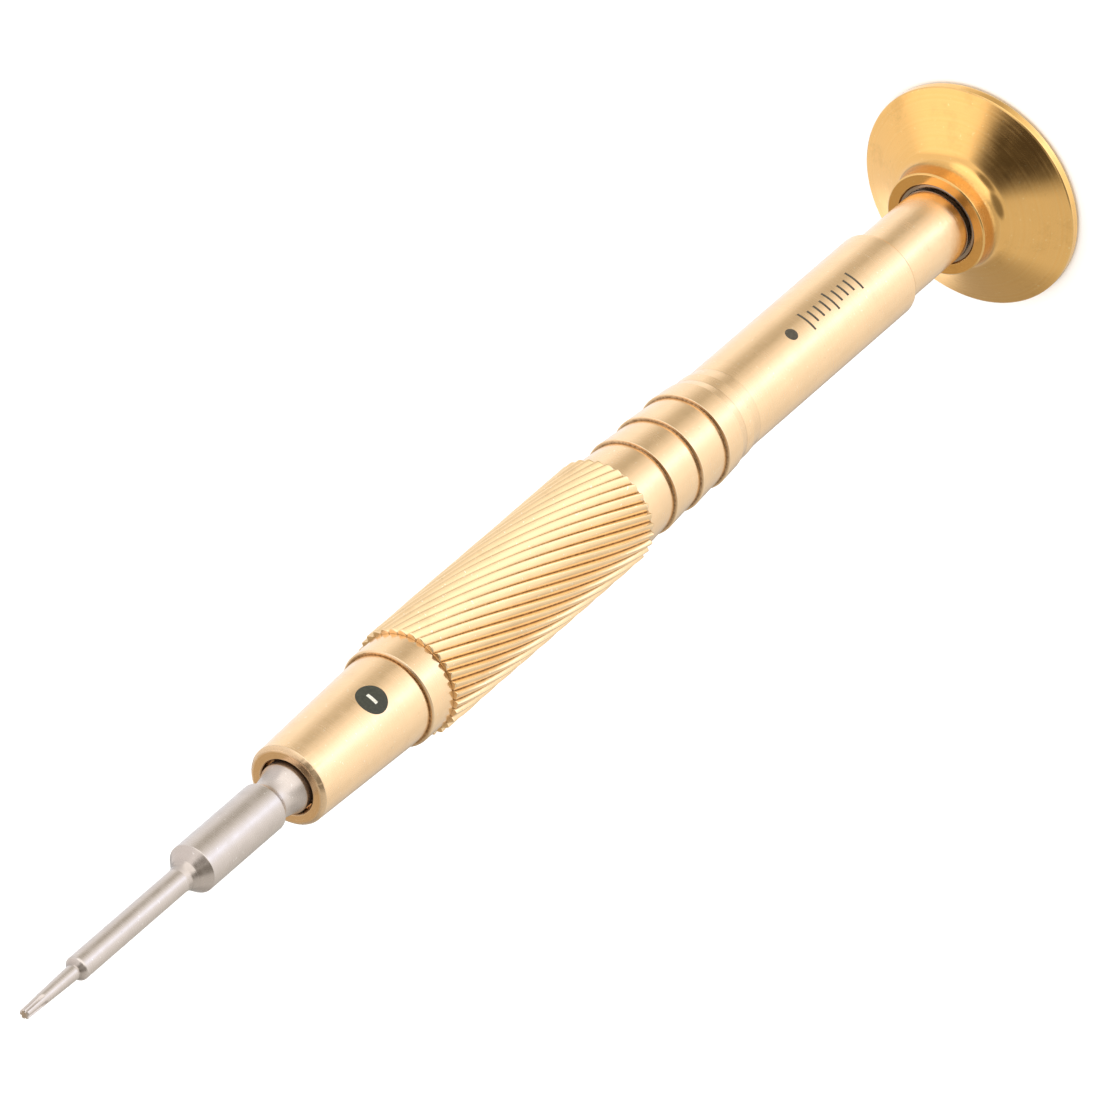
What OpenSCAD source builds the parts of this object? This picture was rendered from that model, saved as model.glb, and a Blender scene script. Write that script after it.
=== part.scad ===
// Watchmaker screwdriver: a lift-out hexagon-shank blade, a turned brass handle with a
// helically fluted grip, and a trumpet-shaped finger cap that spins on a miniature ball bearing.
// Millimetres. The driver stands on the rest face of its cap: the origin is the centre of
// that face and +Z runs along the handle towards the driving tip.

/* [Blade] */
// Width across the lobes at the end of the driving tip
tip_d = 0.84; // [0.8:0.02:0.96]
// Diameter where the driving tip meets the shaft
tip_root_d = 1.2; // [1.06:0.02:1.3]
// Length of the driving tip
tip_len = 6.1; // [4:0.1:8]
// Diameter of the thin shaft
shaft_d = 1.96; // [1.7:0.02:2.2]
// Length of the thin shaft with its front shoulder
shaft_len = 13.5; // [9:0.5:18]
// Diameter of the thick blade body
blade_d = 4; // [3.8:0.05:4]
// Length of the cone between the shaft and the body
cone_len = 1.4; // [1:0.1:2.4]
// Length of the plain part of the body
blade_body_len = 9.1; // [7:0.1:12]
// Smallest diameter of the pull-out groove behind the body
waist_d = 3.2; // [3:0.02:3.4]
// Diameter of the bead behind the groove, where the blade enters its socket
bead_d = 4.16; // [4:0.02:4.3]
// Width across the flats of the hexagon shank
hex_af = 4; // [3.96:0.01:4]
// Length of the hexagon shank inside the socket
hex_len = 10.5; // [9:0.5:10.5]

/* [Nose] */
// Length of the tapered nose in front of the collar
nose_len = 13.2; // [12.8:0.1:15]
// Diameter of the nose at its front end
nose_front_d = 6.68; // [6.4:0.02:7]
// Diameter of the nose at its rear end
nose_rear_d = 7.58; // [7.2:0.02:7.9]
// Diameter of the round mouth of the blade socket
mouth_d = 4.62; // [4.6:0.02:4.8]
// Gap between the hexagon socket and each flat of the shank
hex_gap = 0.03; // [0.02:0.01:0.05]
// Diameter of the threaded spigot behind the nose
spigot_d = 5.6; // [5.4:0.1:5.8]
// Length of the threaded spigot
spigot_len = 4.5; // [4:0.1:5]
// Diameter of the blade magnet
magnet_d = 3.96; // [3.8:0.02:3.98]
// Length of the blade magnet
magnet_len = 2.5; // [2:0.1:3]

/* [Grip] */
// Diameter of the plain collar in front of the grip
collar_d = 8.22; // [8:0.02:8.3]
// Length of the collar
collar_len = 2.65; // [2.2:0.05:3.5]
// Diameter over the grip's flutes
grip_d = 9.14; // [9:0.02:9.6]
// Length of the fluted grip sleeve
grip_len = 26.5; // [20:0.5:32]
// Number of ribs around the grip
flute_count = 32; // [24:1:36]
// Depth of the notch between two ribs
flute_depth = 0.36; // [0.2:0.02:0.4]
// Turn of each rib from the rear of the grip to its front, in degrees
flute_turn = 114; // [60:1:140]
// Diameter of the core inside the grip sleeve
core_d = 7.2; // [6.8:0.1:7.4]

/* [Barrel] */
// Diameter over the lip of each saw-tooth ring
ring_lip_d = 8.3; // [8.1:0.02:8.5]
// Diameter at the foot of each saw-tooth ring
ring_foot_d = 7.76; // [7.6:0.02:7.9]
// Distance from one ring to the next
ring_pitch = 3.65; // [3.2:0.05:4]
// Number of saw-tooth rings, the one against the grip included
ring_count = 4; // [2:1:5]
// Diameter of the barrel
barrel_d = 7.28; // [7.1:0.02:7.4]
// Length of the barrel behind the rings
barrel_len = 27.3; // [20:0.1:36]
// Diameter of the threaded stud that joins the barrel to the core
core_stud_d = 5; // [4.5:0.1:5.4]
// Length of that stud
core_stud_len = 8; // [6:0.5:10]

/* [Spindle] */
// Diameter of the spindle between the barrel and the cap
spindle_d = 6.24; // [5.8:0.02:6.4]
// Length of the spindle between the barrel and its end shoulder
spindle_len = 8.4; // [6:0.1:12]
// Diameter of the threaded stud in the barrel
barrel_stud_d = 4; // [3.5:0.1:4.5]
// Length of that stud
barrel_stud_len = 8; // [6:0.5:10]

/* [Cap] */
// Diameter of the cap's rim
cap_d = 19.1; // [16:0.1:22]
// Height of the cap from its rest face to its mouth
cap_h = 5.9; // [5.8:0.1:6.4]
// Thickness of the rim
rim_h = 1; // [0.8:0.05:1.3]
// Diameter of the cap's neck
neck_d = 8.94; // [8.6:0.02:9.2]
// Slope of the trumpet face at the rim, in degrees
rim_slope = 26; // [20:1:30]
// Slope of the trumpet face where it meets the hollow round the neck, in degrees
neck_slope = 32; // [28:1:36]
// Radius of the hollow between the neck and the trumpet face
fillet_r = 1.7; // [1:0.1:1.9]
// Diameter of the cover disc let into the rest face
cover_d = 8; // [7:0.1:9]
// Thickness of the cover disc
cover_h = 0.7; // [0.5:0.05:0.9]

/* [Bearing] */
// Outside diameter of the ball bearing
bearing_od = 7; // [7:0.5:7.5]
// Bore of the ball bearing
bearing_id = 3; // [2.8:0.1:3]
// Width of the ball bearing
bearing_w = 3; // [3:0.1:3.1]
// Diameter of each ball
ball_d = 1.2; // [1:0.05:1.2]
// Number of balls
ball_count = 7; // [6:1:8]
// Depth of the bearing's front face below the cap's mouth
bearing_drop = 0.07; // [0.05:0.01:0.2]

/* [Hidden] */
$fn = 64;
eps = 0.01;
brass = [0.85, 0.68, 0.38];
gold_brass = [0.83, 0.6, 0.26];
nickel = [0.75, 0.73, 0.71];
dark_steel = [0.4, 0.4, 0.42];

// Bearing stack along Z
bearing_top = cap_h - bearing_drop;
bearing_bottom = bearing_top - bearing_w;
bearing_mid = bearing_top - bearing_w / 2;
ball_pitch_r = (bearing_od + bearing_id) / 4;
ball_play = 0.03;
groove_r = ball_d / 2 + ball_play;
inner_land_r = ball_pitch_r - 0.38;
outer_land_r = ball_pitch_r + 0.38;
shield_seat_r = 3.15;
shield_seat_depth = 0.45;
shield_h = 0.12;
shield_hole_r = inner_land_r + 0.08;
snap_wire_r = 0.08;
cage_half_wall = 0.17;
cage_back = 0.75;
cage_front = 0.3;
pocket_play = 0.04;

// Spacer, spindle, washer and screw
spacer_h = 0.3;
spacer_r = 2.05;
shoulder_z = bearing_top + spacer_h;
journal_r = bearing_id / 2;
journal_relief = 0.08;
washer_r = 2;
washer_h = 0.3;
screw_head_r = 1.5;
screw_head_h = 1;
screw_r = 0.8;
screw_len = 6;
screw_slot_w = 0.4;
screw_slot_depth = 0.45;
screw_hole_spare = 0.5;
screw_hole_r = 0.85;
cap_waist_r = 2.95;

// Handle stations along Z
barrel_z = shoulder_z + spindle_len;
rings_z = barrel_z + barrel_len;
lip_band = 0.15;
grip_z = rings_z + ring_pitch * (ring_count - 1) + lip_band;
collar_z = grip_z + grip_len;
nose_z = collar_z + collar_len;
mouth_z = nose_z + nose_len;
thread_spare = 0.2;
edge = 0.12;

// Angle of the first notch at the rear of the grip
flute_phase = 3.25;

// Blade stations along Z
mouth_depth = 1.2;
socket_top = mouth_z - mouth_depth;
hex_top = socket_top - 0.15;
hex_bottom = hex_top - hex_len;
socket_bottom = hex_bottom - 0.1;
magnet_bottom = socket_bottom - magnet_len;
hex_corner_r = 2.25;
bead_z = mouth_z + 0.3;
waist_z = mouth_z + 2.35;
body_z = waist_z + 0.58;
cone_z = body_z + blade_body_len;
shaft_z = cone_z + cone_len;
tip_z = shaft_z + shaft_len;
shoulder_len = 0.42;
lobe_count = 5;
lobe_groove_r = 0.13;
lobe_groove_len = 2.2;

// Points of an arc, for outlines in the radius-height plane
function arc(cr, cz, r, a0, a1, steps) =
    [for (i = [0:steps]) let (a = a0 + (a1 - a0) * i / steps) [cr + r * cos(a), cz + r * sin(a)]];

// A solid of revolution from an outline of [radius, height] points
module turned(outline) {
    rotate_extrude($fn = 96) polygon(outline);
}

// A round hole or rod along Z between two heights
module rod(r, z0, z1) {
    translate([0, 0, z0]) cylinder(r = r, h = z1 - z0);
}

// A hexagonal bar along Z, measured across its flats
module hex_bar(across_flats, z0, z1) {
    translate([0, 0, z0]) cylinder(d = across_flats / cos(30), h = z1 - z0, $fn = 6);
}

// A plain ring along Z
module ring(outer_r, inner_r, z0, z1) {
    difference() {
        rod(outer_r, z0, z1);
        rod(inner_r, z0 - 1, z1 + 1);
    }
}

// Lobed tip, thin shaft, cone, body, pull-out groove and hexagon shank in one steel piece
module blade() {
    end_r = tip_d / 2;
    end_z = tip_z + tip_len;
    tip_edge = 0.08;
    bead_edge = 0.15;
    bead_back = 0.7;
    cone_foot = 0.6;
    waist_foot = 0.2;
    flare_steps = 6;
    bead_r = bead_d / 2;
    throat_r = waist_d / 2;
    neck_r = shaft_d / 2 + 0.12;
    // Radius of the flare between the bead and the groove
    function flare_r(i) = throat_r + (bead_r - bead_edge / 2 - throat_r) * pow(1 - i / flare_steps, 1.7);
    hex_chamfer = 0.4;
    color(nickel) {
        difference() {
            turned(concat(
                [[0, hex_top - eps], [blade_d / 2, hex_top - eps], [bead_r, bead_z - bead_back],
                 [bead_r, bead_z - bead_edge]],
                [for (i = [0:flare_steps])
                    [flare_r(i), bead_z + (waist_z - bead_z) * i / flare_steps]],
                [[throat_r + edge, body_z - waist_foot], [blade_d / 2, body_z],
                 [blade_d / 2, cone_z], [neck_r, shaft_z - cone_foot], [shaft_d / 2, shaft_z],
                 [shaft_d / 2, tip_z - shoulder_len], [tip_root_d / 2, tip_z],
                 [end_r, end_z - tip_edge], [end_r - tip_edge, end_z], [0, end_z]]));
            for (i = [0:lobe_count - 1])
                rotate([0, 0, i * 360 / lobe_count])
                    translate([end_r + lobe_groove_r * 0.25, 0, end_z - lobe_groove_len]) {
                        cylinder(r = lobe_groove_r, h = lobe_groove_len + 1, $fn = 32);
                        sphere(r = lobe_groove_r, $fn = 32);
                    }
        }
        intersection() {
            hex_bar(hex_af, hex_bottom, hex_top);
            turned([[0, hex_bottom], [hex_corner_r - hex_chamfer, hex_bottom],
                    [hex_corner_r, hex_bottom + hex_chamfer], [hex_corner_r, hex_top], [0, hex_top]]);
        }
    }
}

// Tapered nose with the blade socket in front and a threaded spigot behind
module nose_cone() {
    chamfer_r = 0.34;
    chamfer_h = 0.42;
    lead_in = 0.3;
    color(brass)
        difference() {
            turned([[0, nose_z - spigot_len], [spigot_d / 2 - lead_in, nose_z - spigot_len],
                    [spigot_d / 2, nose_z - spigot_len + lead_in], [spigot_d / 2, nose_z],
                    [nose_rear_d / 2 - edge, nose_z], [nose_rear_d / 2, nose_z + edge],
                    [nose_front_d / 2, mouth_z - chamfer_h],
                    [nose_front_d / 2 - chamfer_r, mouth_z], [0, mouth_z]]);
            rod(mouth_d / 2, socket_top, mouth_z + 1);
            hex_bar(hex_af + 2 * hex_gap, socket_bottom, socket_top + eps);
            rod(magnet_d / 2, magnet_bottom, socket_bottom + eps);
        }
}

// Magnet at the bottom of the blade socket
module blade_magnet() {
    color(dark_steel) rod(magnet_d / 2, magnet_bottom, socket_bottom);
}

// Collar and core that carry the grip sleeve, with a threaded socket at each end
module grip_core() {
    color(brass)
        difference() {
            turned([[0, grip_z], [core_d / 2, grip_z], [core_d / 2, collar_z],
                    [collar_d / 2, collar_z], [collar_d / 2, nose_z - edge],
                    [collar_d / 2 - edge, nose_z], [0, nose_z]]);
            rod(spigot_d / 2, nose_z - spigot_len - thread_spare, nose_z + 1);
            rod(core_stud_d / 2, grip_z - 1, grip_z + core_stud_len + thread_spare);
        }
}

// Sleeve with helical ribs, clamped between the collar and the barrel
module grip_sleeve() {
    notch_r = grip_d / 2 - flute_depth;
    pitch = 360 / flute_count;
    // Each rib is a notch point and two crest points
    function rib(i) = let (a = i * pitch) [
        [notch_r * cos(a), notch_r * sin(a)],
        [grip_d / 2 * cos(a + 0.3 * pitch), grip_d / 2 * sin(a + 0.3 * pitch)],
        [grip_d / 2 * cos(a + 0.7 * pitch), grip_d / 2 * sin(a + 0.7 * pitch)]];
    color(brass)
        difference() {
            translate([0, 0, grip_z])
                rotate([0, 0, flute_phase])
                    linear_extrude(height = grip_len, twist = -flute_turn, slices = 20)
                        polygon([for (i = [0:flute_count - 1]) each rib(i)]);
            rod(core_d / 2, grip_z - 1, collar_z + 1);
        }
}

// Rear half of the handle: saw-tooth rings, a stepped run-out and the plain barrel
module ringed_barrel() {
    step_h = 0.05;
    lip_r = ring_lip_d / 2;
    foot_r = ring_foot_d / 2;
    barrel_r = barrel_d / 2;
    face_z = grip_z - lip_band;
    spigot_r = core_stud_d / 2 + edge;
    // Distance behind the first lip, and radius above the barrel, of each run-out turn
    run_out = [[5, 0], [3.9, 0.15], [2.9, 0.16], [2.1, 0.34]];
    color(brass)
        difference() {
            turned(concat(
                [[0, barrel_z], [barrel_r - edge, barrel_z], [barrel_r, barrel_z + edge]],
                [for (turn = run_out) [barrel_r + turn[1], rings_z - turn[0]]],
                [for (i = [0:ring_count - 2]) each [
                    [lip_r, rings_z + i * ring_pitch],
                    [foot_r, rings_z + i * ring_pitch + step_h]]],
                [[lip_r, face_z], [spigot_r, face_z], [spigot_r, grip_z], [core_stud_d / 2, grip_z],
                 [core_stud_d / 2, grip_z + core_stud_len], [0, grip_z + core_stud_len]]));
            rod(barrel_stud_d / 2, barrel_z - 1, barrel_z + barrel_stud_len + thread_spare);
        }
}

// Stub shaft between the barrel and the cap, with the bearing journal at its end
module spindle() {
    color(brass)
        difference() {
            turned([[0, bearing_bottom + journal_relief], [journal_r - 0.1, bearing_bottom + journal_relief],
                    [journal_r, bearing_bottom + journal_relief + 0.1], [journal_r, shoulder_z],
                    [spindle_d / 2 - 0.06, shoulder_z], [spindle_d / 2, shoulder_z + 0.06],
                    [spindle_d / 2, barrel_z], [barrel_stud_d / 2, barrel_z],
                    [barrel_stud_d / 2, barrel_z + barrel_stud_len], [0, barrel_z + barrel_stud_len]]);
            rod(screw_r, bearing_bottom - 1, bearing_bottom + screw_len - washer_h + screw_hole_spare);
        }
}

// Trumpet-shaped finger cap, bored through for the bearing and the screw
module spinning_cap() {
    rim_r = cap_d / 2;
    rim_edge = 0.06;
    foot_edge = 0.3;
    neck_r = neck_d / 2;
    neck_edge = 0.08;
    steps = 8;
    face_r = rim_r - rim_edge;
    hollow_r = neck_r + fillet_r * (1 - sin(neck_slope));
    run = (face_r - hollow_r) / steps;
    function slope(i) = rim_slope + (neck_slope - rim_slope) * (i - 0.5) / steps;
    function face_z(i) = i == 0 ? rim_h : face_z(i - 1) + run * tan(slope(i));
    fillet_z = face_z(steps) + fillet_r * cos(neck_slope);
    color(gold_brass)
        difference() {
            turned(concat(
                [[0, 0], [rim_r - foot_edge, 0], [rim_r, foot_edge], [rim_r, rim_h - rim_edge]],
                [for (i = [0:steps - 1]) [face_r - i * run, face_z(i)]],
                arc(neck_r + fillet_r, fillet_z, fillet_r, 270 - neck_slope, 180, 8),
                [[neck_r, cap_h - neck_edge], [neck_r - neck_edge, cap_h], [0, cap_h]]));
            rod(bearing_od / 2, bearing_bottom, cap_h + 1);
            rod(cap_waist_r, cover_h - eps, bearing_bottom + eps);
            rod(cover_d / 2, -1, cover_h);
        }
}

// Disc that closes the screw's hole, flush with the rest face
module cap_cover_disc() {
    color(gold_brass) rod(cover_d / 2, 0, cover_h);
}

// Outer ring of the bearing, pressed into the cap
module bearing_outer_race() {
    outer_r = bearing_od / 2;
    rim = 0.1;
    color(nickel)
        rotate_extrude($fn = 96)
            difference() {
                polygon([
                    [outer_land_r, bearing_bottom + shield_seat_depth],
                    [shield_seat_r, bearing_bottom + shield_seat_depth],
                    [shield_seat_r, bearing_bottom], [outer_r - rim, bearing_bottom],
                    [outer_r, bearing_bottom + rim], [outer_r, bearing_top - rim],
                    [outer_r - rim, bearing_top], [shield_seat_r, bearing_top],
                    [shield_seat_r, bearing_top - shield_seat_depth],
                    [outer_land_r, bearing_top - shield_seat_depth]]);
                translate([ball_pitch_r, bearing_mid]) circle(r = groove_r, $fn = 48);
            }
}

// Inner ring of the bearing, clamped on the spindle's journal
module bearing_inner_race() {
    color(nickel)
        rotate_extrude($fn = 96)
            difference() {
                polygon([[journal_r, bearing_bottom], [inner_land_r, bearing_bottom],
                         [inner_land_r, bearing_top], [journal_r, bearing_top]]);
                translate([ball_pitch_r, bearing_mid]) circle(r = groove_r, $fn = 48);
            }
}

// Ball centres, evenly spaced on the pitch circle
module at_each_ball() {
    for (i = [0:ball_count - 1])
        rotate([0, 0, i * 360 / ball_count]) translate([ball_pitch_r, 0, bearing_mid]) children();
}

// The bearing's balls
module bearing_balls() {
    color(nickel) at_each_ball() sphere(d = ball_d, $fn = 32);
}

// Crown cage that spaces the balls, open towards the cap's mouth
module bearing_cage() {
    color(brass)
        difference() {
            ring(ball_pitch_r + cage_half_wall, ball_pitch_r - cage_half_wall,
                bearing_mid - cage_back, bearing_mid + cage_front);
            at_each_ball() sphere(r = ball_d / 2 + pocket_play, $fn = 32);
        }
}

// Thin shield disc in a seat of the outer race
module shield(z) {
    color(dark_steel) ring(shield_seat_r, shield_hole_r, z, z + shield_h);
}

module bearing_shield_front() {
    shield(bearing_top - shield_seat_depth);
}

module bearing_shield_rear() {
    shield(bearing_bottom + shield_seat_depth - shield_h);
}

// Round-wire snap rings that hold the two shields in the outer race
module shield_snap_wires() {
    front_z = bearing_top - shield_seat_depth + shield_h + snap_wire_r;
    rear_z = bearing_bottom + shield_seat_depth - shield_h - snap_wire_r;
    color(nickel)
        for (z = [front_z, rear_z])
            translate([0, 0, z])
                rotate_extrude($fn = 96)
                    translate([shield_seat_r - snap_wire_r, 0]) circle(r = snap_wire_r, $fn = 24);
}

// Spacer that keeps the spindle's shoulder clear of the outer race
module race_spacer_ring() {
    color(brass) ring(spacer_r, journal_r, bearing_top, shoulder_z);
}

// Slotted cheese-head screw that clamps the inner race
module cap_screw() {
    head_top = bearing_bottom - washer_h;
    head_bottom = head_top - screw_head_h;
    color(nickel)
        difference() {
            union() {
                rod(screw_head_r, head_bottom, head_top);
                rod(screw_r, head_bottom + 0.5, head_top + screw_len);
            }
            translate([-screw_head_r - 1, -screw_slot_w / 2, head_bottom - 1])
                cube([2 * screw_head_r + 2, screw_slot_w, 1 + screw_slot_depth]);
        }
}

// Washer between the screw's head and the inner race
module screw_washer() {
    color(nickel) ring(washer_r, screw_hole_r, bearing_bottom - washer_h, bearing_bottom);
}

blade();
nose_cone();
blade_magnet();
grip_core();
grip_sleeve();
ringed_barrel();
spindle();
spinning_cap();
cap_cover_disc();
bearing_outer_race();
bearing_inner_race();
bearing_balls();
bearing_cage();
bearing_shield_front();
bearing_shield_rear();
shield_snap_wires();
race_spacer_ring();
cap_screw();
screw_washer();
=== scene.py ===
import math

import bpy
import numpy as np
from mathutils import Matrix, Vector


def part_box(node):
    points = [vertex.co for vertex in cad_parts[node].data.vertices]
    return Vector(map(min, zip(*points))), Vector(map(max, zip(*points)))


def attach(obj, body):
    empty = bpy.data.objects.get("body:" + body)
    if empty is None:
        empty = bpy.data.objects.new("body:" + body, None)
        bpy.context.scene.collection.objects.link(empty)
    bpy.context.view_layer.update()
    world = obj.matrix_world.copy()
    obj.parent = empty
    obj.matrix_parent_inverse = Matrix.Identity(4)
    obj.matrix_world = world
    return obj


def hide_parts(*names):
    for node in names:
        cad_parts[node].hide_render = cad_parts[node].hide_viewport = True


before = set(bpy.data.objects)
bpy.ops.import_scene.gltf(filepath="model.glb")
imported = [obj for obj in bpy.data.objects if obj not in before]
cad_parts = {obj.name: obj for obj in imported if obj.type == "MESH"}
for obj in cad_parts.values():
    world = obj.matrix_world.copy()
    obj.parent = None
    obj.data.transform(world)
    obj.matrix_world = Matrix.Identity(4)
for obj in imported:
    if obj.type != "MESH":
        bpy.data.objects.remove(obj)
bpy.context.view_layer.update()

MM = 0.001

# Camera: seen from the -Y side, 43 degrees up, rolled so that the tip points down and left
CAMERA_BACK = Vector((0, -math.cos(math.radians(43)), math.sin(math.radians(43))))
CAMERA_ROLL = math.radians(-130.887)
CAMERA_AIM = Vector((0.5, 0, 59.77)) * MM
CAMERA_DISTANCE = 0.9393
CAMERA_LENS = 409.1

SEGMENTS = 192

# Sizes that more than one piece or finish needs, in millimetres and degrees
NOSE_FRONT_R = 3.34
NOSE_REAR_R = 3.79
BARREL_R = 3.64
FLUTE_TURN = 114
GRIP_LENGTH = 26.5
SHEEN_RADIUS = 4.5


def low(node):
    """Height of a CAD node's lowest point, in millimetres."""
    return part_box(node)[0].z / MM


def high(node):
    """Height of a CAD node's highest point, in millimetres."""
    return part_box(node)[1].z / MM


# ---------------------------------------------------------------- turned meshes

def soften(outline, radius, steps=3):
    """Rounds each corner of a [radius, height] outline.

    Returns (radius, height, wear, recess) stations: wear is 1 on outward corners and recess, a painted
    shade, is 1 on inward ones. An outline runs from the axis at the rear, up the outside, and back inwards.
    A point's third number is its own corner radius, and a fourth is painted shade laid on that point.
    """
    points = [np.array(p[:2], float) for p in outline]
    corner = [p[2] if len(p) > 2 else radius for p in outline]
    painted_shade = [p[3] if len(p) > 3 else 0.0 for p in outline]
    out = [(*points[0], 0.0, painted_shade[0])]
    for i in range(1, len(points) - 1):
        before, here, after = points[i - 1], points[i], points[i + 1]
        a, b = here - before, after - here
        la, lb = np.linalg.norm(a), np.linalg.norm(b)
        a, b = a / la, b / lb
        turn = a[0] * b[1] - a[1] * b[0]
        angle = math.acos(max(-1.0, min(1.0, float(a @ b))))
        cut = min(corner[i] * math.tan(angle / 2), 0.45 * la, 0.45 * lb)
        if angle < math.radians(4) or cut < 1e-4:
            out.append((*here, 0.0, painted_shade[i]))
            continue
        mark = min(1.0, angle / math.radians(60))
        # Inward corners always get painted shade; outward corners take the point's own painted shade value.
        wear, recess_shade = (mark, painted_shade[i]) if turn > 0 else (0.0, mark)
        start, end = here - a * cut, here + b * cut
        out.append((*start, 0.35 * wear, recess_shade))
        for k in range(1, steps):
            t = k / steps
            p = (1 - t) ** 2 * start + 2 * t * (1 - t) * here + t ** 2 * end
            out.append((*p, wear, recess_shade))
        out.append((*end, 0.35 * wear, 0.7 * recess_shade))
    out.append((*points[-1], 0.0, painted_shade[-1]))
    return out


def fill(stations, longest=2.0):
    """Adds stations so that none is further than longest from the next, wear staying at the edges."""
    out = [stations[0]]
    for here in stations[1:]:
        before = out[-1]
        gap = math.dist(before[:2], here[:2])
        if gap > 0.5:
            inner = [0.12 / gap, 1 - 0.12 / gap]
            count = int(gap / longest)
            inner[1:1] = [k / (count + 1) for k in range(1, count + 1)]
            for t in inner:
                p = [before[k] + (here[k] - before[k]) * t for k in range(2)]
                out.append((*p, 0.0, min(before[3], here[3])))
        out.append(here)
    return out


def new_piece(name, verts, faces, material):
    mesh = bpy.data.meshes.new(name)
    mesh.from_pydata([tuple(v) for v in verts], [], faces)
    mesh.validate()
    mesh.shade_smooth()
    mesh.set_sharp_from_angle(angle=math.radians(38))
    obj = bpy.data.objects.new(name, mesh)
    bpy.context.scene.collection.objects.link(obj)
    mesh.materials.append(material)
    return obj


def paint(obj, wear, recess_shade):
    """Stores each point's wear and its painted shade for recesses, which the metals read."""
    for key, values in (("wear", wear), ("recess_shade", recess_shade)):
        layer = obj.data.attributes.new(key, "FLOAT", "POINT")
        layer.data.foreach_set("value", np.array(values, np.float32))


def lathe(name, stations, material, segments=SEGMENTS, shape=None):
    """A turned piece from (radius, height, wear, recess) stations, in millimetres.

    shape(angles, radius, height) gives the radius all round where a station isn't a circle.
    """
    angles = np.linspace(0, 2 * math.pi, segments, endpoint=False)
    verts, wear, recess_shade, rings = [], [], [], []
    for r, z, w, c in stations:
        if r < 1e-6:
            rings.append([len(verts)])
            verts.append((0, 0, z * MM))
            wear.append(w)
            recess_shade.append(c)
            continue
        radii = np.full(segments, r) if shape is None else shape(angles, r, z)
        rings.append(list(range(len(verts), len(verts) + segments)))
        for a, rr in zip(angles, radii):
            verts.append((rr * math.cos(a) * MM, rr * math.sin(a) * MM, z * MM))
        wear += [w] * segments
        recess_shade += [c] * segments
    faces = []
    for a, b in zip(rings, rings[1:]):
        for j in range(segments):
            k = (j + 1) % segments
            if len(a) == 1 and len(b) == 1:
                continue
            if len(a) == 1:
                faces.append((a[0], b[k], b[j]))
            elif len(b) == 1:
                faces.append((a[j], a[k], b[0]))
            else:
                faces.append((a[j], a[k], b[k], b[j]))
    obj = new_piece(name, verts, faces, material)
    paint(obj, wear, recess_shade)
    return obj


def arc(centre_r, centre_z, radius, first, last, steps):
    """Points of an arc in the radius-height plane, angles in degrees."""
    out = []
    for i in range(steps + 1):
        a = math.radians(first + (last - first) * i / steps)
        out.append((centre_r + radius * math.cos(a), centre_z + radius * math.sin(a)))
    return out


# ---------------------------------------------------------------- materials

class Nodes:
    """A few short calls for building a node tree."""

    def __init__(self, tree):
        self.tree = tree
        tree.nodes.clear()

    def add(self, kind, **settings):
        node = self.tree.nodes.new(kind)
        for key, value in settings.items():
            setattr(node, key, value)
        return node

    def link(self, source, target):
        self.tree.links.new(source, target)

    def put(self, socket, value):
        if isinstance(value, bpy.types.NodeSocket):
            self.link(value, socket)
        else:
            socket.default_value = value

    def math(self, operation, a, b=0.0, clamp=False):
        node = self.add("ShaderNodeMath", operation=operation, use_clamp=clamp)
        self.put(node.inputs[0], a)
        self.put(node.inputs[1], b)
        return node.outputs[0]

    def vector(self, operation, a, b=(0, 0, 0)):
        node = self.add("ShaderNodeVectorMath", operation=operation)
        self.put(node.inputs[0], a)
        self.put(node.inputs[1], b)
        return node.outputs["Value" if operation in ("DOT_PRODUCT", "LENGTH") else "Vector"]

    def spread(self, value, low_in, high_in, low_out=0.0, high_out=1.0, kind="SMOOTHSTEP"):
        node = self.add("ShaderNodeMapRange", interpolation_type=kind)
        for socket, v in zip(node.inputs[:5], (value, low_in, high_in, low_out, high_out)):
            self.put(socket, v)
        return node.outputs[0]

    def noise(self, vector, scale, detail=3.0, roughness=0.55):
        node = self.add("ShaderNodeTexNoise")
        self.link(vector, node.inputs["Vector"])
        node.inputs["Scale"].default_value = scale
        node.inputs["Detail"].default_value = detail
        node.inputs["Roughness"].default_value = roughness
        return node.outputs["Fac"]

    def lines(self, value, scale, detail=4.0):
        node = self.add("ShaderNodeTexNoise", noise_dimensions="1D")
        self.link(value, node.inputs["W"])
        node.inputs["Scale"].default_value = scale
        node.inputs["Detail"].default_value = detail
        return node.outputs["Fac"]

    def mix(self, factor, a, b):
        node = self.add("ShaderNodeMix", data_type="RGBA")
        self.put(node.inputs["Factor"], factor)
        self.put(node.inputs[6], a)
        self.put(node.inputs[7], b)
        return node.outputs[2]

    def attribute(self, name):
        return self.add("ShaderNodeAttribute", attribute_name=name).outputs["Fac"]


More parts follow.
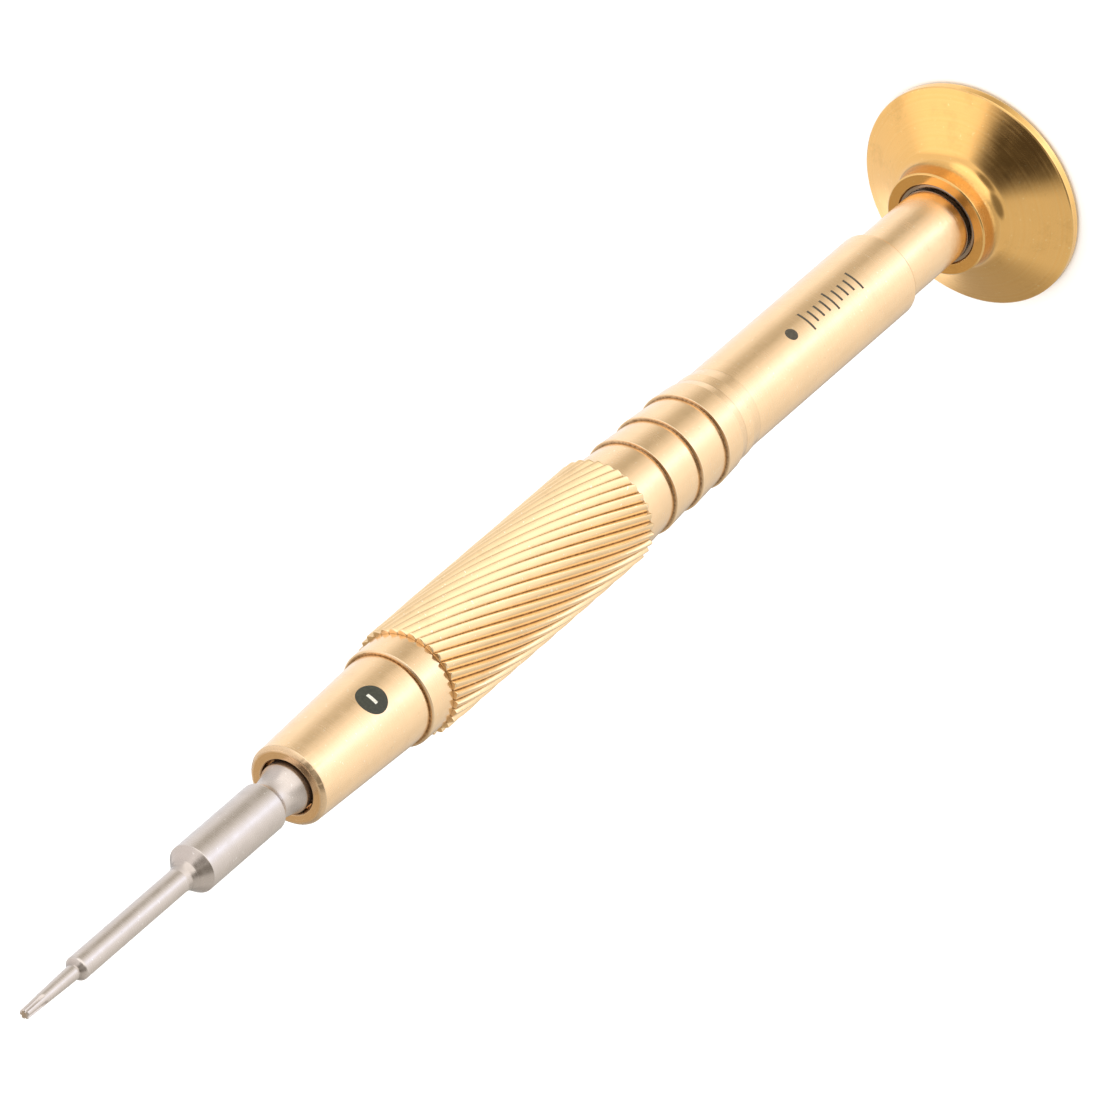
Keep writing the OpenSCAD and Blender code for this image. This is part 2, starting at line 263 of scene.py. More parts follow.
def metal(name, base, worn, grime_and_shade, roughness, grain, line_scale=9000.0, line_depth=0.35,
          speck=0.4, blotch=420.0, shade_share=0.9, wear_share=0.45, helix=None, stain=0.0):
    """A machined metal: turning lines round the axis, soft blotches, specks, worn edges and painted
    shade on inward corners, in the stains' dark colour. Colours are linear RGB; grain is how far roughness
    varies. With helix, in radians per metre, the lines follow the ribs instead of running round the axis."""
    material = bpy.data.materials.new(name)
    material.use_nodes = True
    n = Nodes(material.node_tree)
    out = n.add("ShaderNodeOutputMaterial")
    shader = n.add("ShaderNodeBsdfPrincipled")
    n.link(shader.outputs[0], out.inputs["Surface"])
    shader.inputs["Metallic"].default_value = 1.0

    place = n.add("ShaderNodeTexCoord").outputs["Object"]
    parts = n.add("ShaderNodeSeparateXYZ")
    n.link(place, parts.inputs[0])
    flat = n.vector("MULTIPLY", place, (1, 1, 0))
    if helix is None:
        across = n.math("ADD", n.vector("LENGTH", flat), parts.outputs["Z"])
    else:
        around = n.math("ARCTAN2", parts.outputs["Y"], parts.outputs["X"])
        along = n.math("MULTIPLY", parts.outputs["Z"], helix)
        across = n.math("MULTIPLY", n.math("SUBTRACT", around, along), SHEEN_RADIUS * MM)

    blotches = n.noise(place, blotch, 3.0)
    fine = n.noise(place, 5200.0, 4.0)
    turning = n.lines(across, line_scale)
    broad_turning = n.lines(across, line_scale / 9, 3.0)
    stains = n.spread(n.noise(n.vector("ADD", place, (0.02, 0.07, 0.01)), 330.0, 5.0, 0.7), 0.52, 0.72)
    specks = n.spread(n.noise(place, 3600.0, 1.0), 0.70, 0.76)
    pits = n.spread(n.noise(n.vector("ADD", place, (0.05, 0.02, 0.03)), 2600.0, 2.0), 0.71, 0.77)

    tone = n.mix(n.spread(blotches, 0.3, 0.7), tuple(c * 0.965 for c in base) + (1,), base + (1,))
    tone = n.mix(n.spread(turning, 0.35, 0.65, 0.0, 0.10, "LINEAR"), tone, worn + (1,))
    if stain:
        tone = n.mix(n.math("MULTIPLY", stains, stain), tone, grime_and_shade + (1,))
    tone = n.mix(n.math("MULTIPLY", specks, speck), tone, worn + (1,))
    tone = n.mix(n.math("MULTIPLY", pits, 0.35 * speck), tone, grime_and_shade + (1,))
    edge = n.math("MULTIPLY", n.attribute("wear"), n.spread(fine, 0.35, 0.6, 0.4, 1.0))
    tone = n.mix(n.math("MULTIPLY", edge, wear_share), tone, worn + (1,))
    # Painted shade: points marked as recesses are darkened towards the grime colour, standing in for shade
    # in hollows and inward corners. The same colour also serves the real stains and pits.
    hollow_shade = n.math("MULTIPLY", n.attribute("recess_shade"), n.spread(fine, 0.3, 0.7, 0.6, 1.0))
    tone = n.mix(n.math("MULTIPLY", hollow_shade, shade_share), tone, grime_and_shade + (1,))
    n.link(tone, shader.inputs["Base Color"])

    rough = n.spread(n.noise(place, blotch * 2.4, 4.0), 0.3, 0.7,
                     max(0.04, roughness - grain), roughness + grain, "LINEAR")
    rough = n.math("ADD", rough, n.spread(turning, 0.3, 0.7, -0.03, 0.04, "LINEAR"))
    rough = n.math("ADD", rough, n.math("MULTIPLY", hollow_shade, 0.15), clamp=True)
    n.link(rough, shader.inputs["Roughness"])

    height = n.math("MULTIPLY", turning, 0.6)
    height = n.math("ADD", height, n.math("MULTIPLY", broad_turning, 0.5))
    height = n.math("ADD", height, n.math("MULTIPLY", fine, 0.5))
    height = n.math("SUBTRACT", height, n.math("MULTIPLY", specks, 0.6 * speck))
    bump = n.add("ShaderNodeBump")
    bump.inputs["Strength"].default_value = line_depth
    bump.inputs["Distance"].default_value = 0.000012
    n.link(height, bump.inputs["Height"])
    n.link(bump.outputs[0], shader.inputs["Normal"])
    return material


def printed_ink(name, colour, roughness):
    """Ink printed on the metal: slightly uneven and thin in places."""
    material = bpy.data.materials.new(name)
    material.use_nodes = True
    n = Nodes(material.node_tree)
    out = n.add("ShaderNodeOutputMaterial")
    shader = n.add("ShaderNodeBsdfPrincipled")
    n.link(shader.outputs[0], out.inputs["Surface"])
    place = n.add("ShaderNodeTexCoord").outputs["Object"]
    uneven = n.noise(place, 6000.0, 3.0)
    lighter = tuple(min(1.0, c * 1.5 + 0.01) for c in colour) + (1,)
    n.link(n.mix(n.spread(uneven, 0.35, 0.7), colour + (1,), lighter), shader.inputs["Base Color"])
    n.link(n.spread(uneven, 0.3, 0.7, roughness - 0.08, roughness + 0.08, "LINEAR"),
           shader.inputs["Roughness"])
    return material


def floor_paper(name):
    """Pale seamless studio paper."""
    material = bpy.data.materials.new(name)
    material.use_nodes = True
    n = Nodes(material.node_tree)
    out = n.add("ShaderNodeOutputMaterial")
    shader = n.add("ShaderNodeBsdfPrincipled")
    n.link(shader.outputs[0], out.inputs["Surface"])
    place = n.add("ShaderNodeTexCoord").outputs["Object"]
    n.link(n.mix(n.noise(place, 60.0), (0.93, 0.93, 0.93, 1), (0.95, 0.95, 0.95, 1)),
           shader.inputs["Base Color"])
    shader.inputs["Roughness"].default_value = 0.9
    shader.inputs["Specular IOR Level"].default_value = 0.1
    return material


# Turn of the ribs along the grip, in radians per metre
HELIX = math.radians(FLUTE_TURN) / (GRIP_LENGTH * MM)
BRASS = metal("turned_brass", (0.95, 0.66, 0.385), (1.0, 0.88, 0.68), (0.16, 0.075, 0.022),
              roughness=0.21, grain=0.05, stain=0.05)
GRIP_BRASS = metal("grip_brass", (0.96, 0.68, 0.38), (1.0, 0.88, 0.66), (0.26, 0.13, 0.04),
                   roughness=0.18, grain=0.05, speck=0.9, shade_share=1.0, wear_share=0.3,
                   line_depth=0.4, helix=HELIX, stain=0.12)
GOLD_BRASS = metal("polished_brass", (0.92, 0.535, 0.175), (1.0, 0.80, 0.42), (0.32, 0.15, 0.03),
                   roughness=0.15, grain=0.05, line_scale=12000.0, line_depth=0.16, blotch=260.0,
                   stain=0.16, shade_share=0.8)
STEEL = metal("satin_nickel", (0.61, 0.535, 0.485), (0.84, 0.79, 0.75), (0.17, 0.13, 0.10),
              roughness=0.26, grain=0.07, line_scale=12000.0, line_depth=0.55, speck=0.5,
              shade_share=0.5)
BEARING_STEEL = metal("bearing_steel", (0.40, 0.34, 0.30), (0.75, 0.68, 0.6), (0.08, 0.06, 0.05),
                      roughness=0.22, grain=0.04)
PRESSED_STEEL = metal("pressed_steel", (0.45, 0.45, 0.46), (0.8, 0.8, 0.8), (0.08, 0.08, 0.08),
                      roughness=0.32, grain=0.06, line_depth=0.2)
MAGNET = metal("magnet_nickel", (0.58, 0.57, 0.55), (0.85, 0.85, 0.85), (0.1, 0.1, 0.1),
               roughness=0.2, grain=0.05)
DARK_INK = printed_ink("dark_ink", (0.03, 0.032, 0.018), 0.6)
BROWN_INK = printed_ink("brown_ink", (0.06, 0.05, 0.03), 0.6)
PALE_INK = printed_ink("pale_ink", (0.75, 0.73, 0.6), 0.5)


# ---------------------------------------------------------------- stations from the frame

TIP_END = high("blade")
SHANK_END = low("blade")
MOUTH = high("nose_cone")
NOSE_FOOT = low("nose_cone")
NOSE_REAR = high("grip_core")
SLEEVE_FRONT = high("grip_sleeve")
SLEEVE_REAR = low("grip_sleeve")
CORE_FRONT = high("ringed_barrel")
BARREL_REAR = low("ringed_barrel")
SPINDLE_TOP = high("spindle")
SPINDLE_FOOT = low("spindle")
SHOULDER = high("race_spacer_ring")
CAP_MOUTH = high("spinning_cap")
CAP_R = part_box("spinning_cap")[1].x / MM
GRIP_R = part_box("grip_sleeve")[1].x / MM
BEARING_FOOT = low("bearing_outer_race")
COVER_TOP = high("cap_cover_disc")
MAGNET_TOP = high("blade_magnet")
MAGNET_FOOT = low("blade_magnet")


# ---------------------------------------------------------------- pieces

def hexagon(angles, across_flats):
    """Radius of a hexagon with a corner at angle 0."""
    step = math.pi / 3
    return across_flats / 2 / np.cos(np.mod(angles, step) - step / 2)


def blade():
    """Lobed tip, thin shaft, cone, body, pull-out groove and hexagon shank."""
    body_r, shaft_r, tip_root_r, tip_r = 2.0, 0.98, 0.6, 0.42
    hex_af, hex_corner_r, hex_chamfer = 4.0, 2.25, 0.4
    hex_top = MOUTH - 1.35
    bead_r, throat_r, bead = 2.08, 1.6, MOUTH + 0.3
    throat = MOUTH + 2.35
    body_start = throat + 0.58
    cone_start = body_start + 9.1
    tip_start = TIP_END - 6.1
    shoulder, lobe_len, lobe_count, lobe_r = 0.42, 2.2, 5, 0.13

    # The fourth numbers on the bead and the start of the flare are painted shade, darkening the blade where
    # it enters the socket mouth.
    outline = [(0, SHANK_END), (hex_corner_r - hex_chamfer, SHANK_END, 0),
               (hex_corner_r, SHANK_END + hex_chamfer, 0), (hex_corner_r, hex_top, 0),
               (body_r, hex_top + 0.01, 0), (bead_r, bead - 0.7, 0.1, 1.0),
               (bead_r, bead, 0.35, 0.7)]
    outline += [(throat_r + (bead_r - throat_r) * (1 - k / 12) ** 1.7,
                 bead + (throat - bead) * k / 12, 0, max(0.0, 0.4 - k * 0.1)) for k in range(1, 12)]
    outline += [(throat_r, throat, 0.2), (throat_r + 0.06, body_start - 0.16, 0.12),
                (body_r - 0.02, body_start, 0.06), (body_r, body_start + 0.12, 0.1)]
    outline += [(body_r, cone_start, 0.1)]
    outline += [(shaft_r + 0.3, cone_start + 0.9, 0.35), (shaft_r + 0.07, cone_start + 1.35, 0.4),
                (shaft_r, cone_start + 1.8, 0.4),
                (shaft_r, tip_start - shoulder, 0.3), (tip_root_r, tip_start, 0.25),
                (tip_r + (tip_root_r - tip_r) * lobe_len / 6.1, TIP_END - lobe_len, 0),
                (tip_r, TIP_END - 0.08, 0.06), (tip_r - 0.08, TIP_END, 0.04), (0, TIP_END)]

    def shape(angles, r, z):
        if z < hex_top + 0.005:
            return np.minimum(hexagon(angles, hex_af), r)
        if z <= TIP_END - lobe_len:
            return np.full(len(angles), r)
        pitch = 2 * math.pi / lobe_count
        away = np.mod(angles + pitch / 2, pitch) - pitch / 2
        reach = lobe_r / tip_r
        dip = np.sqrt(np.clip(1 - (away / reach) ** 2, 0, 1))
        run = min(1.0, (z - TIP_END + lobe_len) / 0.25)
        return np.maximum(r - dip * 0.75 * lobe_r * run, 0.02) if r > 0.2 else np.full(len(angles), r)

    obj = lathe("blade_turned", fill(soften(outline, 0.05, 4), 0.8), STEEL, 240, shape)
    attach(obj, "blade")
    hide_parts("blade")


def nose():
    """Tapered nose with the blade socket in its front and a spigot behind."""
    front_r, rear_r = NOSE_FRONT_R, NOSE_REAR_R
    spigot_r, mouth_r, hex_af = 2.8, 2.31, 4.06
    magnet_r = 1.99
    socket_top = MOUTH - 1.2
    # The fourth numbers on the front chamfer and the socket lead-in are painted shade at the mouth.
    outline = [(0, NOSE_FOOT), (spigot_r, NOSE_FOOT, 0.25), (spigot_r, NOSE_REAR, 0),
               (rear_r, NOSE_REAR, 0.07), (front_r, MOUTH - 0.32, 0.08, 0.2),
               (front_r - 0.24, MOUTH - 0.03, 0.05, 0.35), (mouth_r + 0.62, MOUTH, 0.02),
               (mouth_r + 0.08, MOUTH, 0.03), (mouth_r, MOUTH - 0.09, 0.04, 0.2),
               (mouth_r - 0.15, MOUTH - 0.5, 0, 0.3), (mouth_r - 0.15, socket_top, 0),
               (hex_af, socket_top - 0.001, 0), (hex_af, MAGNET_TOP, 0),
               (magnet_r, MAGNET_TOP - 0.001, 0), (magnet_r, MAGNET_FOOT, 0), (0, MAGNET_FOOT)]

    rng = np.random.default_rng(11)
    nicks = [(rng.uniform(0, 2 * math.pi), rng.uniform(0.015, 0.04), rng.uniform(0.015, 0.05),
              MOUTH - rng.uniform(0.05, 0.4)) for _ in range(26)]

    def shape(angles, r, z):
        if r > rear_r:
            return hexagon(angles, hex_af)
        radii = np.full(len(angles), r)
        if z < MOUTH - 0.6 or r < front_r - 0.5:
            return radii
        for at, width, depth, height in nicks:
            away = np.mod(angles - at + math.pi, 2 * math.pi) - math.pi
            radii -= depth * np.exp(-(away / width) ** 2 - ((z - height) / 0.12) ** 2)
        return radii

    obj = lathe("nose_turned", fill(soften(outline, 0.04), 1.2), BRASS, 288, shape)
    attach(obj, "handle")
    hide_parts("nose_cone")


def collar():
    """Collar in front of the grip, with the core that carries the sleeve."""
    core_r, collar_r, stud_r, spigot_r = 3.6, 4.11, 2.5, 2.8
    # The fourth numbers on the front face, in the corner where the nose stands on the collar, are painted
    # shade.
    outline = [(stud_r, SLEEVE_REAR), (core_r, SLEEVE_REAR, 0), (core_r, SLEEVE_FRONT, 0),
               (collar_r, SLEEVE_FRONT, 0.06), (collar_r, NOSE_REAR - 0.1, 0.05),
               (collar_r - 0.12, NOSE_REAR, 0.03, 0.4), (3.83, NOSE_REAR, 0, 1.0), (3.7, NOSE_REAR, 0, 1.0),
               (spigot_r, NOSE_REAR, 0),
               (spigot_r, NOSE_FOOT - 0.2, 0), (stud_r, NOSE_FOOT - 0.2)]
    obj = lathe("collar_and_core", fill(soften(outline, 0.04), 1.2), BRASS)
    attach(obj, "handle")
    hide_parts("grip_core")


def sleeve():
    """Grip sleeve: convex helical ribs with a sharp notch between each two."""
    ribs, per_rib, slices = 32, 22, 150
    turn = math.radians(FLUTE_TURN)
    phase = math.radians(3.25)
    depth, bore_r, crest_at = 0.36, 3.6, 0.76
    notch_r = GRIP_R - depth
    count = ribs * per_rib
    rng = np.random.default_rng(7)
    u = (np.arange(count) % per_rib) / per_rib
    rising, falling = u / crest_at, (u - crest_at) / (1 - crest_at)
    rise = 1 - np.clip(1 - rising, 0, 1) ** 1.5
    fall = 1 - np.clip(falling, 0, 1) ** 1.25
    worn_down = np.repeat(rng.uniform(0, 0.035, ribs), per_rib)
    profile = notch_r + (depth - worn_down) * np.where(u < crest_at, rise, fall)
    # Painted shade along the bottom of each notch between ribs, carried as the recess value.
    notch_shade = np.clip(1.1 - np.minimum(u / 0.15, (1 - u) / 0.07), 0, 1)
    base = np.arange(count) * 2 * math.pi / count
    end_r = 0.05
    levels = [(SLEEVE_REAR, end_r), (SLEEVE_REAR + 0.6 * end_r, 0.3 * end_r), (SLEEVE_REAR + 1.5 * end_r, 0)]
    levels += [(SLEEVE_REAR + (SLEEVE_FRONT - SLEEVE_REAR) * k / slices, 0) for k in range(1, slices)]
    levels += [(SLEEVE_FRONT - 1.5 * end_r, 0), (SLEEVE_FRONT - 0.6 * end_r, 0.3 * end_r),
               (SLEEVE_FRONT, end_r)]
    verts, wear, recess_shade = [], [], []
    for z, cut in levels:
        a = base + phase + turn * (z - SLEEVE_REAR) / (SLEEVE_FRONT - SLEEVE_REAR)
        r = profile - cut
        verts += list(zip(r * np.cos(a) * MM, r * np.sin(a) * MM, np.full(count, z * MM)))
        wear += list(np.full(count, 1.0 if cut else 0.0) * (1 - notch_shade))
        recess_shade += list(notch_shade)
    rows = len(levels)
    faces = [(i * count + j, i * count + (j + 1) % count, (i + 1) * count + (j + 1) % count,
              (i + 1) * count + j) for i in range(rows - 1) for j in range(count)]
    for row, z, up in ((0, SLEEVE_REAR, False), (rows - 1, SLEEVE_FRONT, True)):
        start = len(verts)
        a = base + phase + (turn if up else 0)
        verts += list(zip(bore_r * np.cos(a) * MM, bore_r * np.sin(a) * MM, np.full(count, z * MM)))
        wear += [0.0] * count
        # The sleeve's end faces get full painted shade, for the shade beside the collar and the barrel.
        recess_shade += [1.0] * count
        for j in range(count):
            k = (j + 1) % count
            quad = (row * count + j, row * count + k, start + k, start + j)
            faces.append(quad if up else quad[::-1])
    obj = new_piece("fluted_sleeve", verts, faces, GRIP_BRASS)
    paint(obj, wear, recess_shade)
    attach(obj, "handle")
    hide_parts("grip_sleeve")


def barrel():
    """Rear half of the handle: plain barrel, run-out turns and saw-tooth rings."""
    barrel_r, lip_r, foot_r, stud_r, bore_r = BARREL_R, 4.15, 3.88, 2.5, 2.0
    pitch, step, band = 3.65, 0.05, 0.15
    first_lip = SLEEVE_REAR - band - 3 * pitch
    outline = [(bore_r, BARREL_REAR), (barrel_r, BARREL_REAR, 0.1)]
    for back, rise in ((5.0, 0.0), (3.9, 0.15), (2.9, 0.16), (2.1, 0.34)):
        outline.append((barrel_r + rise, first_lip - back, 0.25))
    # The inward foot of each ring gets painted shade from soften.
    for k in range(3):
        outline += [(lip_r, first_lip + k * pitch, 0.04), (foot_r, first_lip + k * pitch + step, 0.06)]
    outline += [(lip_r, SLEEVE_REAR - band, 0.04), (lip_r - 0.3, SLEEVE_REAR - 0.01, 0.02),
                (stud_r, SLEEVE_REAR - 0.01, 0), (stud_r, CORE_FRONT, 0), (0, CORE_FRONT)]
    obj = lathe("ringed_barrel_turned", fill(soften(outline, 0.05), 1.2), BRASS)
    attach(obj, "handle")
    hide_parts("ringed_barrel")


def spindle():
    """Stub shaft between the barrel and the cap, with its journal and stud."""
    spindle_r, journal_r, stud_r, screw_r = 3.12, 1.5, 2.0, 0.8
    outline = [(screw_r, SPINDLE_FOOT), (journal_r, SPINDLE_FOOT, 0.1), (journal_r, SHOULDER, 0),
               (spindle_r, SHOULDER, 0.05), (spindle_r, BARREL_REAR, 0), (stud_r, BARREL_REAR, 0),
               (stud_r, SPINDLE_TOP, 0.1), (0, SPINDLE_TOP)]
    obj = lathe("spindle_turned", fill(soften(outline, 0.05), 1.2), BRASS)
    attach(obj, "handle")
    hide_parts("spindle")


def cap():
    """Trumpet-shaped finger cap, bored through for the bearing and the screw."""
    neck_r, mouth_r, waist_r, cover_r = 4.47, 3.5, 2.95, 4.0
    rim_top, fillet_r, rim_slope, neck_slope = 1.0, 1.7, 26.0, 32.0
    outline = [(waist_r, COVER_TOP, 0), (cover_r, COVER_TOP - 0.001, 0), (cover_r, 0, 0.03),
               (CAP_R - 0.28, 0, 0.1), (CAP_R, 0.28, 0.2), (CAP_R, rim_top - 0.1, 0.06),
               (CAP_R - 0.1, rim_top, 0.06)]
    face_in = neck_r + fillet_r * (1 - math.sin(math.radians(neck_slope)))
    steps, r, z = 40, CAP_R - 0.1, rim_top
    for i in range(1, steps + 1):
        slope = rim_slope + (neck_slope - rim_slope) * (i - 0.5) / steps
        run = (CAP_R - 0.1 - face_in) / steps
        r, z = r - run, z + run * math.tan(math.radians(slope))
        outline.append((r, z, 0.0))
    fillet_z = z + fillet_r * math.cos(math.radians(neck_slope))
    curve = arc(neck_r + fillet_r, fillet_z, fillet_r, 270 - neck_slope, 180, 16)[1:]
    # The fourth numbers in the fillet and on the neck are painted shade in the hollow where the neck meets
    # the face.
    outline += [(r, z, 0.0, min(0.5, max(0.0, (i - 6) / 12))) for i, (r, z) in enumerate(curve)]
    outline += [(neck_r, CAP_MOUTH - 0.2, 0.04, 0.45), (neck_r, CAP_MOUTH - 0.1, 0.04, 0.2),
                (neck_r - 0.1, CAP_MOUTH, 0.03),
                (mouth_r + 0.05, CAP_MOUTH, 0.02), (mouth_r, CAP_MOUTH - 0.05, 0.02),
                (mouth_r, BEARING_FOOT, 0), (waist_r, BEARING_FOOT - 0.001, 0), (waist_r, COVER_TOP)]
    obj = lathe("cap_turned", fill(soften(outline, 0.05), 0.8), GOLD_BRASS, 256)
    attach(obj, "cap")
    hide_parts("spinning_cap")


def on_surface(angle, z, radius):
    """A point on a turned surface; angle in degrees from the camera's side towards -X."""
    a = math.radians(270 - angle)
    return (radius * math.cos(a) * MM, radius * math.sin(a) * MM, z * MM)


def mark(name, outline, angle, z, radius_at, material, lift=0.012):
    """A thin printed patch: outline points (across, along) in millimetres, wrapped round the axis."""
    verts, faces = [], []
    cx = sum(p[0] for p in outline) / len(outline)
    cz = sum(p[1] for p in outline) / len(outline)
    rings, sides = 5, len(outline)
    verts.append(on_surface(angle + math.degrees(cx / radius_at(z)), z + cz, radius_at(z + cz) + lift))
    for k in range(1, rings + 1):
        t = k / rings
        for x, y in outline:
            px, pz = cx + (x - cx) * t, cz + (y - cz) * t
            r = radius_at(z + pz) + (lift if k < rings else 0.002)
            verts.append(on_surface(angle + math.degrees(px / r), z + pz, r))
    for j in range(sides):
        k = (j + 1) % sides
        faces.append((0, 1 + j, 1 + k))
        for ring in range(rings - 1):
            a, b = 1 + ring * sides, 1 + (ring + 1) * sides
            faces.append((a + j, b + j, b + k, a + k))
    obj = new_piece(name, verts, faces, material)
    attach(obj, "handle")
    return obj


def disc_outline(radius, sides=48):
    return [(radius * math.cos(2 * math.pi * i / sides), radius * math.sin(2 * math.pi * i / sides))
            for i in range(sides)]


def bar_outline(width, height, per_side=6):
    corners = [(-width / 2, -height / 2), (width / 2, -height / 2),
               (width / 2, height / 2), (-width / 2, height / 2)]
    out = []
    for i in range(4):
        a, b = corners[i], corners[(i + 1) % 4]
        out += [(a[0] + (b[0] - a[0]) * k / per_side, a[1] + (b[1] - a[1]) * k / per_side)
                for k in range(per_side)]
    return out


def marks():
    """Plain printed marks: a dot with a bar on the nose and a row of ticks on the barrel."""
    nose_angle, nose_z = -12.5, MOUTH - 8.9
    barrel_angle, first_tick, tick_gap = -14.0, 5.6, 0.85

    def nose_radius(z):
        share = (MOUTH - z) / (MOUTH - NOSE_REAR)
        return NOSE_FRONT_R + (NOSE_REAR_R - NOSE_FRONT_R) * share

    def barrel_radius(z):
        return BARREL_R

    mark("nose_dot", disc_outline(1.3), nose_angle, nose_z, nose_radius, DARK_INK)
    mark("nose_dot_bar", bar_outline(1.1, 0.34), nose_angle, nose_z, nose_radius, PALE_INK, 0.018)
    for i in range(9):
        width = 1.9 if i % 4 == 0 else 1.2
        mark(f"barrel_tick_{i}", bar_outline(width, 0.22), barrel_angle,
             BARREL_REAR + first_tick + i * tick_gap, barrel_radius, BROWN_INK)
    mark("barrel_dot", disc_outline(0.55, 32), barrel_angle, BARREL_REAR + 14.6, barrel_radius,
         BROWN_INK)


def cad_materials():
    """Finishes of the CAD nodes that stay as they are."""
    finishes = {
        "blade_magnet": MAGNET, "cap_cover_disc": GOLD_BRASS,
        "bearing_outer_race": BEARING_STEEL, "bearing_inner_race": BEARING_STEEL,
        "bearing_balls": BEARING_STEEL, "bearing_cage": BRASS,
        "bearing_shield_front": PRESSED_STEEL, "bearing_shield_rear": PRESSED_STEEL,
        "shield_snap_wires": PRESSED_STEEL, "race_spacer_ring": BRASS,
        "cap_screw": BEARING_STEEL, "screw_washer": PRESSED_STEEL,
    }
    for node, material in finishes.items():
        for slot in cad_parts[node].material_slots:
            slot.material = material


# ---------------------------------------------------------------- studio

def studio_floor():
    bpy.ops.mesh.primitive_plane_add(size=6.0)
    floor = bpy.context.object
    floor.name = "studio_floor"
    floor.data.materials.append(floor_paper("studio_paper"))
    floor.visible_glossy = False


# Brightness and warmth of the surroundings by direction, in degrees from -Y towards +X
LOW_RING = ((-180, 0.60, 1.0), (-166, 0.42, 0.9), (-144, 0.74, 0.9), (-112, 0.90, 0.92),
            (-80, 1.06, 0.97), (-48, 1.28, 1.0), (-32, 1.45, 1.1), (-16, 1.75, 1.25), (0, 1.45, 1.1),
            (16, 1.15, 0.97), (32, 0.88, 0.9), (48, 0.61, 0.82), (64, 0.68, 0.85), (80, 0.96, 0.93),
            (96, 1.18, 1.0), (128, 1.16, 1.05), (160, 1.10, 1.1), (180, 0.60, 1.0))
MID_RING = ((-180, 0.55, 1.0), (-140, 0.42, 0.9), (-100, 0.62, 0.92), (-60, 1.2, 0.95),
            (-30, 1.5, 1.0), (0, 1.6, 1.0), (40, 1.25, 1.0), (90, 0.9, 1.0), (130, 0.6, 1.0),
            (160, 0.5, 1.0), (180, 0.5, 1.0))
RING_TOP = 2.4


def light_ring(n, share, ring, top=RING_TOP):
    """Light from a ring of (degrees, brightness, blue share) stops."""
    ramp = n.add("ShaderNodeValToRGB")
    ramp.color_ramp.interpolation = "EASE"
    stops = ramp.color_ramp.elements
    while len(stops) > 1:
        stops.remove(stops[-1])
    for i, (degrees, value, blue) in enumerate(ring):
        stop = stops[0] if i == 0 else stops.new((degrees + 180) / 360)
        stop.position = (degrees + 180) / 360
        green = 1 + (blue - 1) * 0.3
        stop.color = tuple(value * t / top for t in (1.0, green, blue)) + (1,)
    n.link(share, ramp.inputs[0])
    light = n.vector("SCALE", ramp.outputs[0])
    light.node.inputs["Scale"].default_value = top
    return light


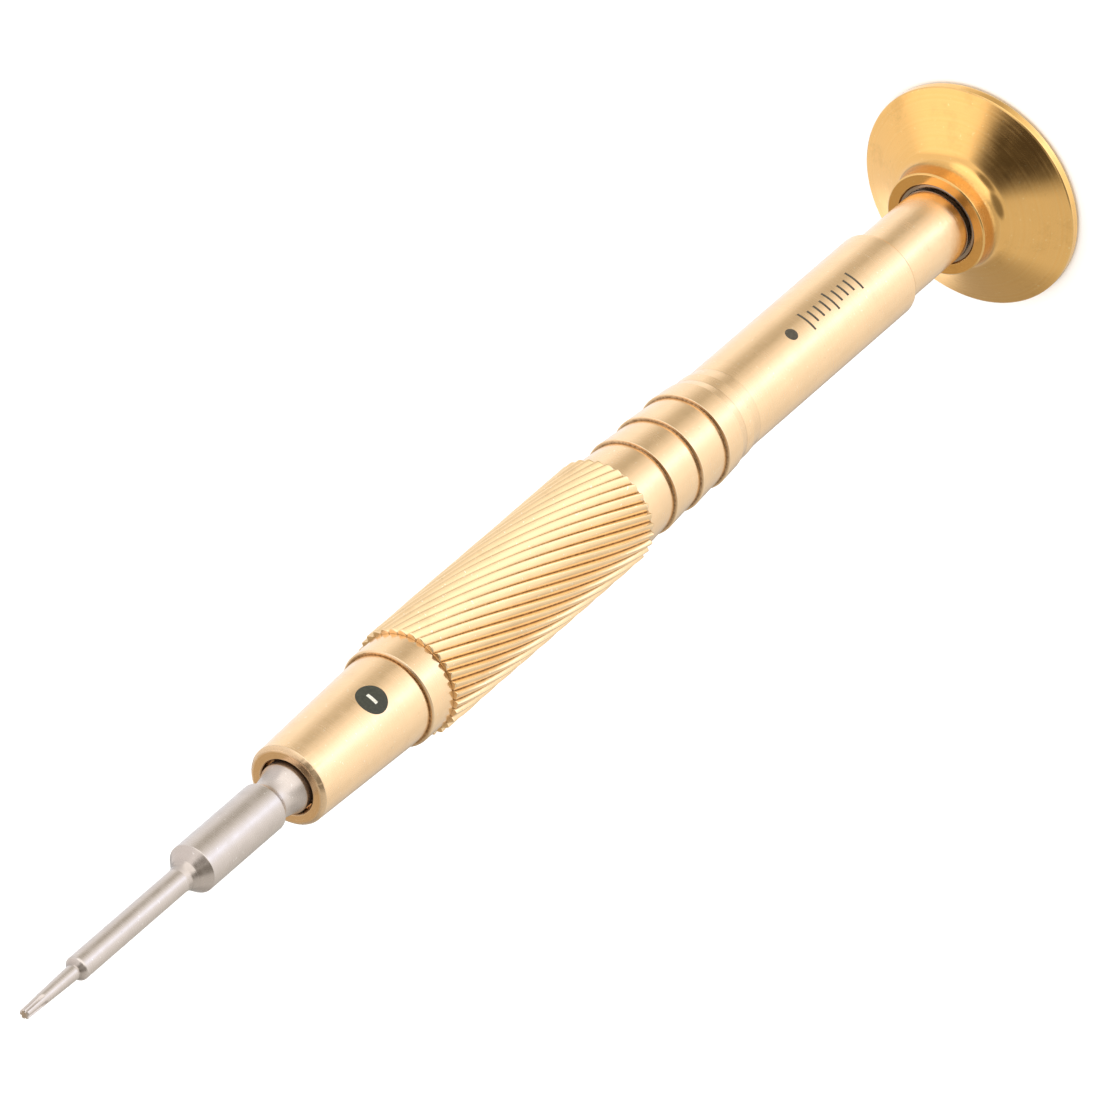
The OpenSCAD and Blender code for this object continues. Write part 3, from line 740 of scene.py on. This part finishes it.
def studio_world():
    """A light tent: soft panels all round, with darker gaps above, in front and on one side."""
    world = bpy.data.worlds.new("light_tent")
    bpy.context.scene.world = world
    world.use_nodes = True
    n = Nodes(world.node_tree)
    out = n.add("ShaderNodeOutputWorld")
    direction = n.add("ShaderNodeTexCoord").outputs["Generated"]
    parts = n.add("ShaderNodeSeparateXYZ")
    n.link(direction, parts.inputs[0])
    x, y, z = parts.outputs
    azimuth = n.math("ARCTAN2", x, n.math("MULTIPLY", y, -1.0))
    share = n.spread(azimuth, -math.pi, math.pi, 0.0, 1.0, "LINEAR")
    low_light = light_ring(n, share, LOW_RING)
    mid_light = light_ring(n, share, MID_RING)

    def lobe(centre, inner, outer):
        c = Vector(centre).normalized()
        dot = n.vector("DOT_PRODUCT", direction, tuple(c))
        return n.spread(dot, math.cos(math.radians(outer)), math.cos(math.radians(inner)))

    # Panels and gaps above the horizon: direction, full to, gone by (degrees), light
    panels = (
        ((-0.45, 0.85, 0.15), 10, 34, (0.46, 0.44, 0.41)),
        ((0.0, 0.73, 0.68), 8, 28, (0.54, 0.44, 0.31)),
        ((0.60, 0.20, 0.77), 14, 34, (1.36, 1.28, 1.24)),
        ((0.03, 0.97, -0.24), 5, 18, (1.45, 1.42, 1.40)),
        ((0.0, -1.0, 0.0), 16, 36, (1.60, 1.58, 1.55)),
        ((0.5, -0.86, 0.0), 20, 38, (1.60, 1.58, 1.55)),
        ((-0.64, -0.65, 0.40), 13, 27, (0.26, 0.24, 0.21)),
        ((0.0, -0.73, 0.68), 8, 22, (0.25, 0.23, 0.20)),
        ((0.0, -0.12, 0.99), 10, 27, (0.08, 0.07, 0.06)),
    )
    sides = n.spread(x, -0.25, 0.25)
    high_light = n.mix(sides, (0.74, 0.72, 0.68, 1), (1.0, 0.98, 0.98, 1))
    for centre, inner, outer, light in panels:
        high_light = n.mix(lobe(centre, inner, outer), high_light, light + (1,))
    low_light = n.mix(n.spread(z, -0.62, -0.45), low_light, mid_light)
    light = n.mix(n.spread(z, -0.42, -0.25), low_light, high_light)

    reflected = n.add("ShaderNodeBackground")
    n.link(light, reflected.inputs["Color"])
    backdrop = n.add("ShaderNodeBackground")
    n.link(n.mix(n.spread(z, 0.0, 0.14), (0.79, 0.76, 0.74, 1), (0.97, 0.97, 0.97, 1)),
           backdrop.inputs["Color"])
    path = n.add("ShaderNodeLightPath")
    both = n.add("ShaderNodeMixShader")
    n.link(path.outputs["Is Camera Ray"], both.inputs[0])
    n.link(reflected.outputs[0], both.inputs[1])
    n.link(backdrop.outputs[0], both.inputs[2])
    n.link(both.outputs[0], out.inputs["Surface"])


def overhead_light():
    """A wide soft light over the floor that doesn't show in the metal."""
    data = bpy.data.lights.new("overhead_soft", "AREA")
    data.shape = "DISK"
    data.size = 1.6
    data.energy = 26.0
    light = bpy.data.objects.new("overhead_soft", data)
    bpy.context.scene.collection.objects.link(light)
    light.location = (0, 0, 1.9)
    light.visible_glossy = False
    light.visible_camera = False


def camera():
    data = bpy.data.cameras.new("photo_camera")
    data.lens = CAMERA_LENS
    data.sensor_width = 36
    data.clip_start = 0.01
    data.clip_end = 50
    cam = bpy.data.objects.new("photo_camera", data)
    bpy.context.scene.collection.objects.link(cam)
    flat_right = Vector((1, 0, 0))
    flat_up = CAMERA_BACK.cross(flat_right)
    unrolled = Matrix((flat_right, flat_up, CAMERA_BACK)).transposed()
    rolled = unrolled @ Matrix.Rotation(CAMERA_ROLL, 3, "Z")
    cam.matrix_world = Matrix.Translation(CAMERA_AIM + CAMERA_BACK * CAMERA_DISTANCE) @ rolled.to_4x4()
    bpy.context.scene.camera = cam


blade()
nose()
collar()
sleeve()
barrel()
spindle()
cap()
marks()
cad_materials()
studio_floor()
studio_world()
overhead_light()
camera()
scene = bpy.context.scene
scene.view_settings.view_transform = "Standard"
scene.view_settings.look = "None"
scene.view_settings.exposure = 0.0
